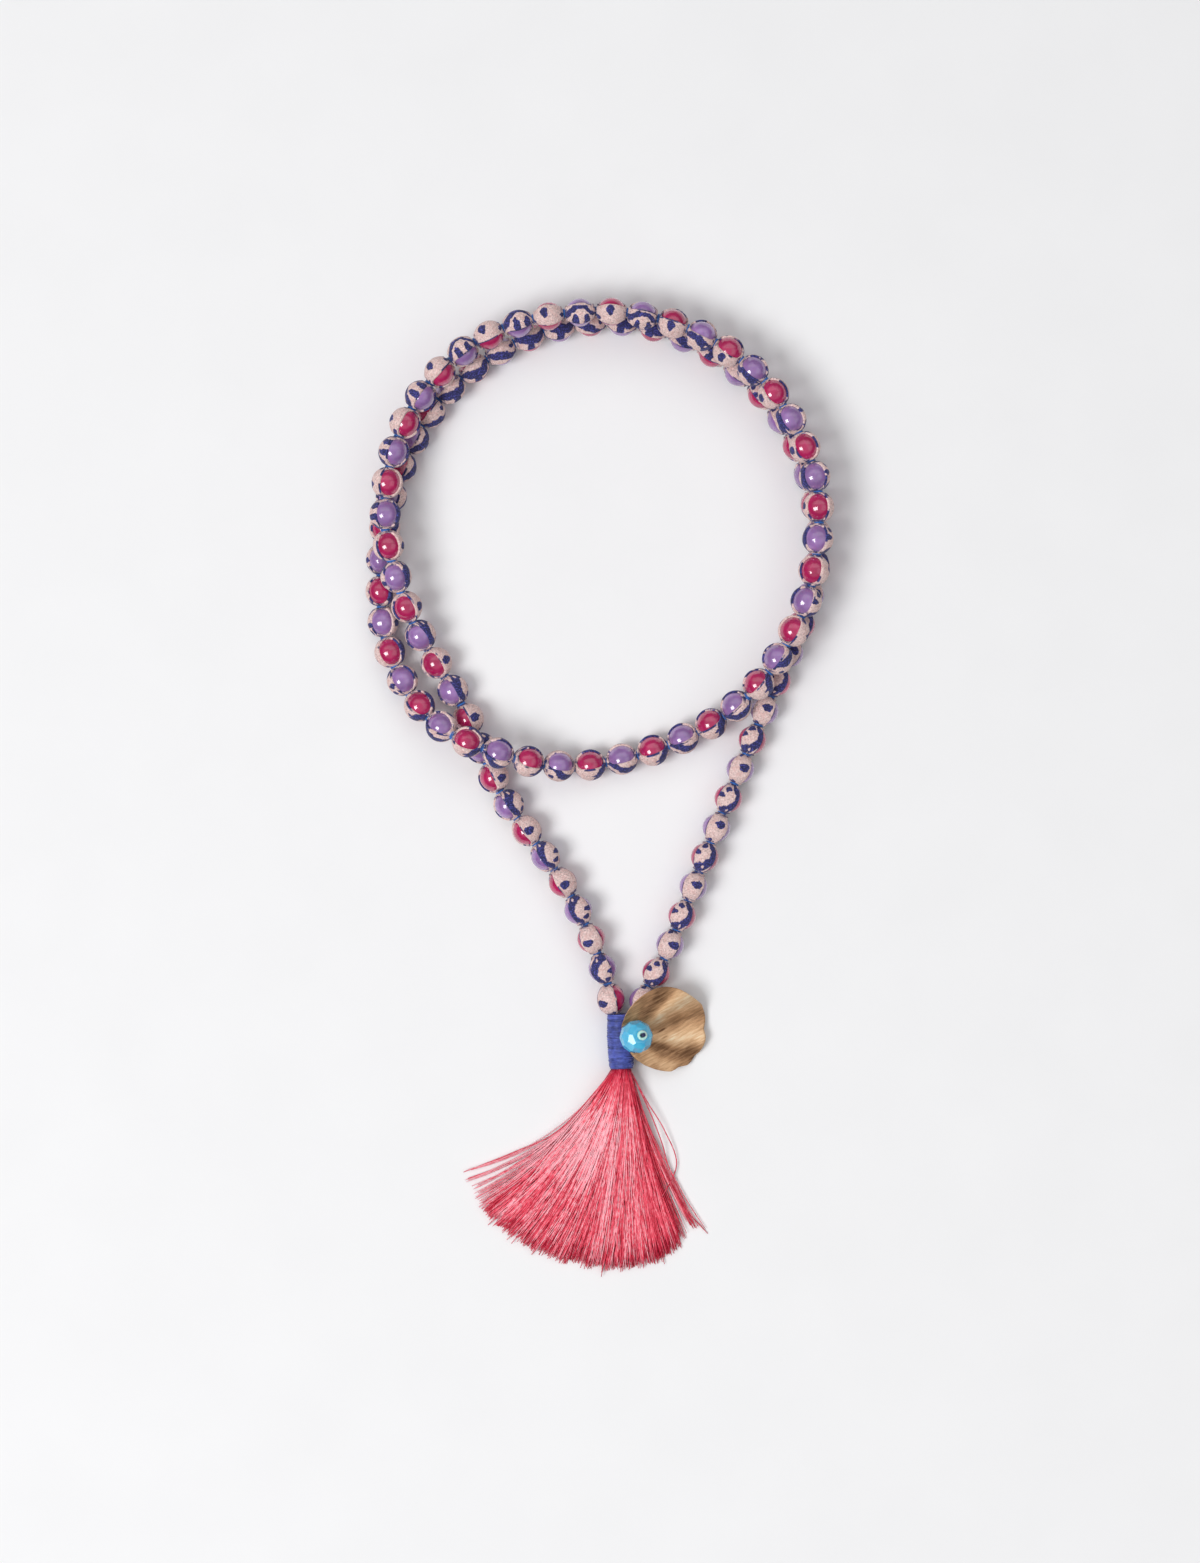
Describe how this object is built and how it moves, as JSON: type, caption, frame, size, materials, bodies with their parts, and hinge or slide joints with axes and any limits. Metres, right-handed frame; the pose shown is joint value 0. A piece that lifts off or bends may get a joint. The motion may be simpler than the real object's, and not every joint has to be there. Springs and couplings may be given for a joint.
{
  "type": "tassel necklace",
  "caption": "Long necklace of resin balls wrapped in printed ribbon, lying in a double ring, with a coral thread tassel, a brass petal and a faceted bead.",
  "frame": {"origin": "on the floor, in the middle of the necklace's box as it lies", "axes": "+X right and +Y up in the picture, from the tassel to the ring; +Z up from the floor"},
  "size_m": [0.1331, 0.2768, 0.0191],
  "materials": {
    "magenta_resin": "glossy",
    "lilac_resin": "glossy",
    "printed_ribbon": "fine crepe",
    "blue_thread": "waxed",
    "binding_thread": "silky",
    "coral_thread": "silky",
    "brass_sheet": "brushed, a little tarnished",
    "turquoise_glass": "polished facets",
    "pale_glass": "polished",
    "navy_thread": "waxed"
  },
  "bodies": {
    "root": {"magenta_beads": "magenta_resin", "lilac_beads": "lilac_resin", "ribbon_wraps": "printed_ribbon", "stringing_thread": "blue_thread", "tassel_binding": "binding_thread", "tassel_fringe": "coral_thread", "brass_petal": "brass_sheet", "faceted_bead": "turquoise_glass", "stopper_bead": "pale_glass", "charm_thread": "navy_thread"}
  },
  "joints": []
}
